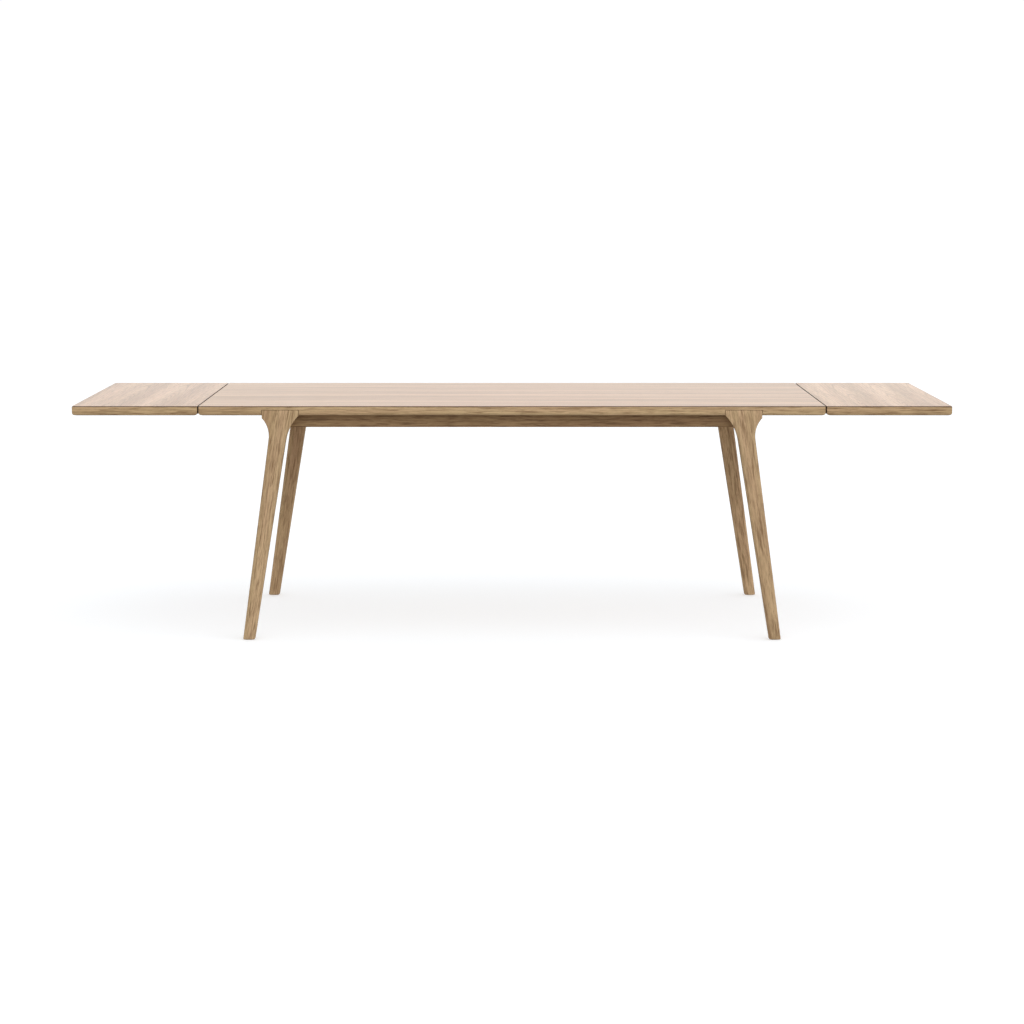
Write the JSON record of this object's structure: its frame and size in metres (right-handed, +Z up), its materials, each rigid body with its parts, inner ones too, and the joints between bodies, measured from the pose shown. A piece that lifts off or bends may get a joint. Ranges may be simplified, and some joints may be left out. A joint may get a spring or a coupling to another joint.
{
  "type": "extendable dining table",
  "caption": "Long oak dining table with flared, splayed legs let into the top's edges, a loose leaf at each end and pull-out runners that carry the leaves.",
  "frame": {"origin": "on the floor under the centre of the table", "axes": "+X along the table's length, +Y across it from the front edge to the rear edge, +Z up"},
  "size_m": [2.802, 0.95, 0.755],
  "materials": {
    "oak_veneer": "matt lacquered pale oak veneer, straight grain on the fixed top, flamed grain across the leaves",
    "solid_oak": "matt lacquered solid pale oak",
    "core_board": "raw particle board",
    "steel": "zinc plated",
    "brass": "plain turned",
    "nylon": "natural nylon"
  },
  "bodies": {
    "table": {"top_core": "core_board", "top_face_veneer": "oak_veneer", "top_back_veneer": "solid_oak", "top_front_lipping": "solid_oak", "top_rear_lipping": "solid_oak", "top_left_lipping": "solid_oak", "top_right_lipping": "solid_oak", "left_dowel_bushes": "brass", "right_dowel_bushes": "brass", "front_left_leg": "solid_oak", "front_right_leg": "solid_oak", "rear_left_leg": "solid_oak", "rear_right_leg": "solid_oak", "front_left_glide": "nylon", "front_right_glide": "nylon", "rear_left_glide": "nylon", "rear_right_glide": "nylon", "front_rail": "solid_oak", "rear_rail": "solid_oak", "left_end_rail": "solid_oak", "right_end_rail": "solid_oak", "left_cross_rail": "solid_oak", "right_cross_rail": "solid_oak", "rail_dowels": "solid_oak", "rail_screws": "steel", "leg_bolts": "steel", "leg_bolt_washers": "steel", "leg_inserts": "brass", "runner_pads": "nylon"},
    "left_leaf": {"left_leaf_core": "core_board", "left_leaf_face_veneer": "oak_veneer", "left_leaf_back_veneer": "solid_oak", "left_leaf_front_lipping": "solid_oak", "left_leaf_rear_lipping": "solid_oak", "left_leaf_outer_lipping": "solid_oak", "left_leaf_inner_lipping": "solid_oak", "left_leaf_dowels": "steel", "left_leaf_guides": "solid_oak", "left_leaf_guide_screws": "steel"},
    "right_leaf": {"right_leaf_core": "core_board", "right_leaf_face_veneer": "oak_veneer", "right_leaf_back_veneer": "solid_oak", "right_leaf_front_lipping": "solid_oak", "right_leaf_rear_lipping": "solid_oak", "right_leaf_outer_lipping": "solid_oak", "right_leaf_inner_lipping": "solid_oak", "right_leaf_dowels": "steel", "right_leaf_guides": "solid_oak", "right_leaf_guide_screws": "steel"},
    "front_left_runner": {"front_left_runner": "solid_oak", "front_left_stop_pins": "solid_oak"},
    "front_right_runner": {"front_right_runner": "solid_oak", "front_right_stop_pins": "solid_oak"},
    "rear_left_runner": {"rear_left_runner": "solid_oak", "rear_left_stop_pins": "solid_oak"},
    "rear_right_runner": {"rear_right_runner": "solid_oak", "rear_right_stop_pins": "solid_oak"}
  },
  "joints": [
    {"name": "left_leaf_slide", "type": "slide", "parent": "table", "child": "left_leaf", "axis": [-1, 0, 0], "range_m": [0, 0.18]},
    {"name": "right_leaf_slide", "type": "slide", "parent": "table", "child": "right_leaf", "axis": [1, 0, 0], "range_m": [0, 0.18]},
    {"name": "front_left_runner_slide", "type": "slide", "parent": "table", "child": "front_left_runner", "axis": [-1, 0, 0], "range_m": [-0.39, 0]},
    {"name": "front_right_runner_slide", "type": "slide", "parent": "table", "child": "front_right_runner", "axis": [1, 0, 0], "range_m": [-0.39, 0]},
    {"name": "rear_left_runner_slide", "type": "slide", "parent": "table", "child": "rear_left_runner", "axis": [-1, 0, 0], "range_m": [-0.39, 0]},
    {"name": "rear_right_runner_slide", "type": "slide", "parent": "table", "child": "rear_right_runner", "axis": [1, 0, 0], "range_m": [-0.39, 0]}
  ]
}
